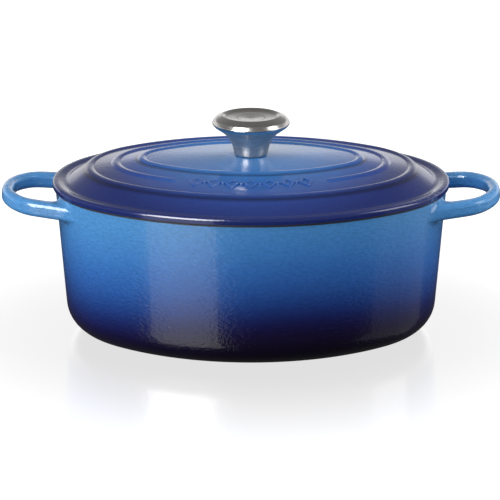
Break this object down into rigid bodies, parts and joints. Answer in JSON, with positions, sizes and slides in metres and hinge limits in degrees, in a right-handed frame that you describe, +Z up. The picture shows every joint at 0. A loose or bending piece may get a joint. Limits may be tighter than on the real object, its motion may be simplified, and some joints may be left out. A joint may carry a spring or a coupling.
{
  "type": "oval dutch oven",
  "caption": "Oval enamelled cast-iron dutch oven with two loop handles and a lift-off lid carrying a hollow steel knob.",
  "frame": {"origin": "middle of the foot ring's plane, under the middle of the pot", "axes": "+X towards one loop handle along the oval's length, +Y across the oval away from the ring gap at the lid's front, +Z up"},
  "size_m": [0.3748, 0.2248, 0.1652],
  "materials": {
    "pot_enamel": "glossy vitreous enamel, azure fading to navy at the base; sand enamel inside, matt black rim",
    "lid_enamel": "glossy vitreous enamel, mid blue fading to navy at the edge; sand enamel underneath",
    "knob_steel": "satin to polished",
    "fixing_steel": "plain bright"
  },
  "bodies": {
    "pot": {"pot_casting": "pot_enamel"},
    "lid": {"lid_casting": "lid_enamel", "knob_stem": "knob_steel", "knob_cap": "knob_steel", "knob_bush": "fixing_steel", "flat_washer": "fixing_steel", "spring_washer": "fixing_steel", "knob_screw": "fixing_steel"}
  },
  "joints": [
    {"name": "lid_lift", "type": "slide", "parent": "pot", "child": "lid", "axis": [0, 0, 1], "range_m": [0, 0.2]}
  ]
}
